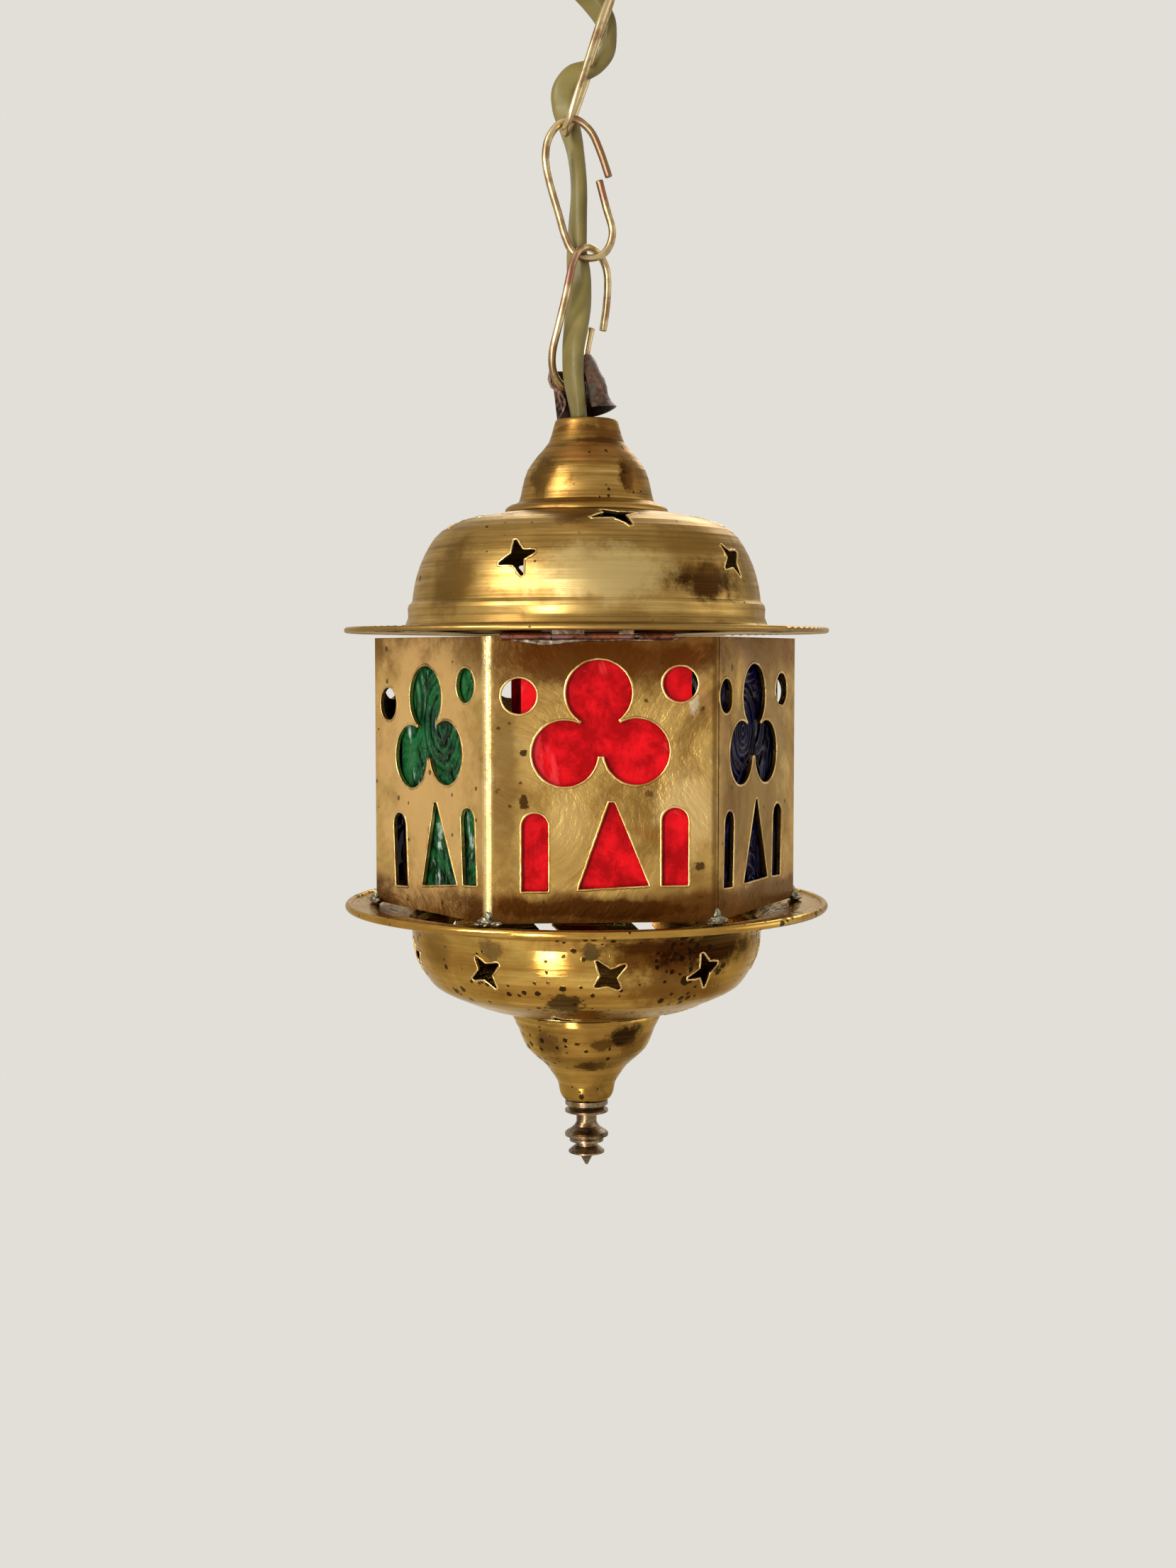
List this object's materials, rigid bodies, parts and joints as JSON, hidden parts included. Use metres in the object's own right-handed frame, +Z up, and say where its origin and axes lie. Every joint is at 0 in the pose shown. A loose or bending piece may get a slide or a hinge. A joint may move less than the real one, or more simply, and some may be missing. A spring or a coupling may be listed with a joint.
{
  "type": "hanging lantern",
  "caption": "Hanging lantern with a hexagonal pierced body, coloured panes, a domed hinged lid, a bowl with a finial, a wire chain and a flat flex.",
  "frame": {"origin": "on the ceiling, midway between the two screws of the ceiling bracket, above the lantern's axis", "axes": "+Z up along the lantern's axis; -Y is the side of the hinged front panel; +X to the right of that panel"},
  "size_m": [0.1292, 0.1292, 0.3596],
  "materials": {
    "satin_brass": "satin spun brass with streaks",
    "dark_brass": "darkened brass",
    "panel_brass": "mottled patina",
    "chain_brass": "polished brass plating",
    "torn_copper": "dark brown oxide",
    "zinc": "zinc plated",
    "solder": "dull solder",
    "steel_pin": "dull steel wire",
    "flex_pvc": "olive PVC",
    "grommet_rubber": "matt",
    "terminal_plastic": "matt",
    "holder_plastic": "moulded",
    "glass_red": "hammered",
    "glass_blue": "hammered",
    "glass_green": "hammered"
  },
  "bodies": {
    "ceiling": {"ceiling_bracket": "zinc", "ceiling_canopy": "satin_brass", "canopy_nut": "satin_brass", "ceiling_hook": "chain_brass", "hook_nut": "zinc", "flex_grommet": "grommet_rubber", "terminal_block": "terminal_plastic", "flex_1": "flex_pvc"},
    "link_1": {"link_1": "chain_brass", "flex_2": "flex_pvc"},
    "link_2": {"link_2": "chain_brass", "flex_3": "flex_pvc"},
    "link_3": {"link_3": "chain_brass", "flex_4": "flex_pvc"},
    "lid": {"hanger_eye": "dark_brass", "eye_solder": "solder", "torn_cap": "torn_copper", "neck_bell": "dark_brass", "neck_bridge": "dark_brass", "top_dome": "satin_brass", "lamp_nipple": "zinc", "lock_nut": "zinc", "lampholder_cap": "satin_brass", "lampholder_body": "holder_plastic", "thread_shell": "zinc", "lamp_contact": "zinc", "hinge_tube_lid": "dark_brass", "hinge_solder_lid": "solder", "catch_tab": "satin_brass"},
    "cage": {"hex_body": "panel_brass", "pane_1": "glass_red", "pane_2": "glass_blue", "pane_3": "glass_green", "pane_4": "glass_red", "pane_5": "glass_blue", "pane_6": "glass_green", "pane_clips": "panel_brass", "hinge_tubes_body": "dark_brass", "hinge_solder_body": "solder", "hinge_pin": "steel_pin", "corner_solder": "solder", "bottom_bowl": "satin_brass", "bottom_bell": "satin_brass", "bell_stud": "zinc", "bell_nut": "zinc", "finial": "dark_brass"}
  },
  "joints": [
    {"name": "hook_swing", "type": "hinge", "parent": "ceiling", "child": "link_1", "pos_m": [0.0079, 0, -0.0454], "axis": [0, 1, 0], "range_deg": [-30, 30], "deforming": ["flex_1"]},
    {"name": "link_1_2", "type": "hinge", "parent": "link_1", "child": "link_2", "pos_m": [-0.0052, 0, -0.0812], "axis": [1, 0, 0], "range_deg": [-20, 20], "deforming": ["flex_2"]},
    {"name": "link_2_3", "type": "hinge", "parent": "link_2", "child": "link_3", "pos_m": [0.0006, 0, -0.1139], "axis": [0.7071, 0.7071, 0], "range_deg": [-15, 15], "deforming": ["flex_3"]},
    {"name": "link_3_eye", "type": "hinge", "parent": "link_3", "child": "lid", "pos_m": [-0.0028, 0.0009, -0.1486], "axis": [0.6428, -0.766, 0], "range_deg": [-12, 12], "deforming": ["flex_4"]},
    {"name": "cage_hinge", "type": "hinge", "parent": "lid", "child": "cage", "pos_m": [0, -0.0502, -0.2168], "axis": [-1, 0, 0], "range_deg": [0, 92]}
  ]
}
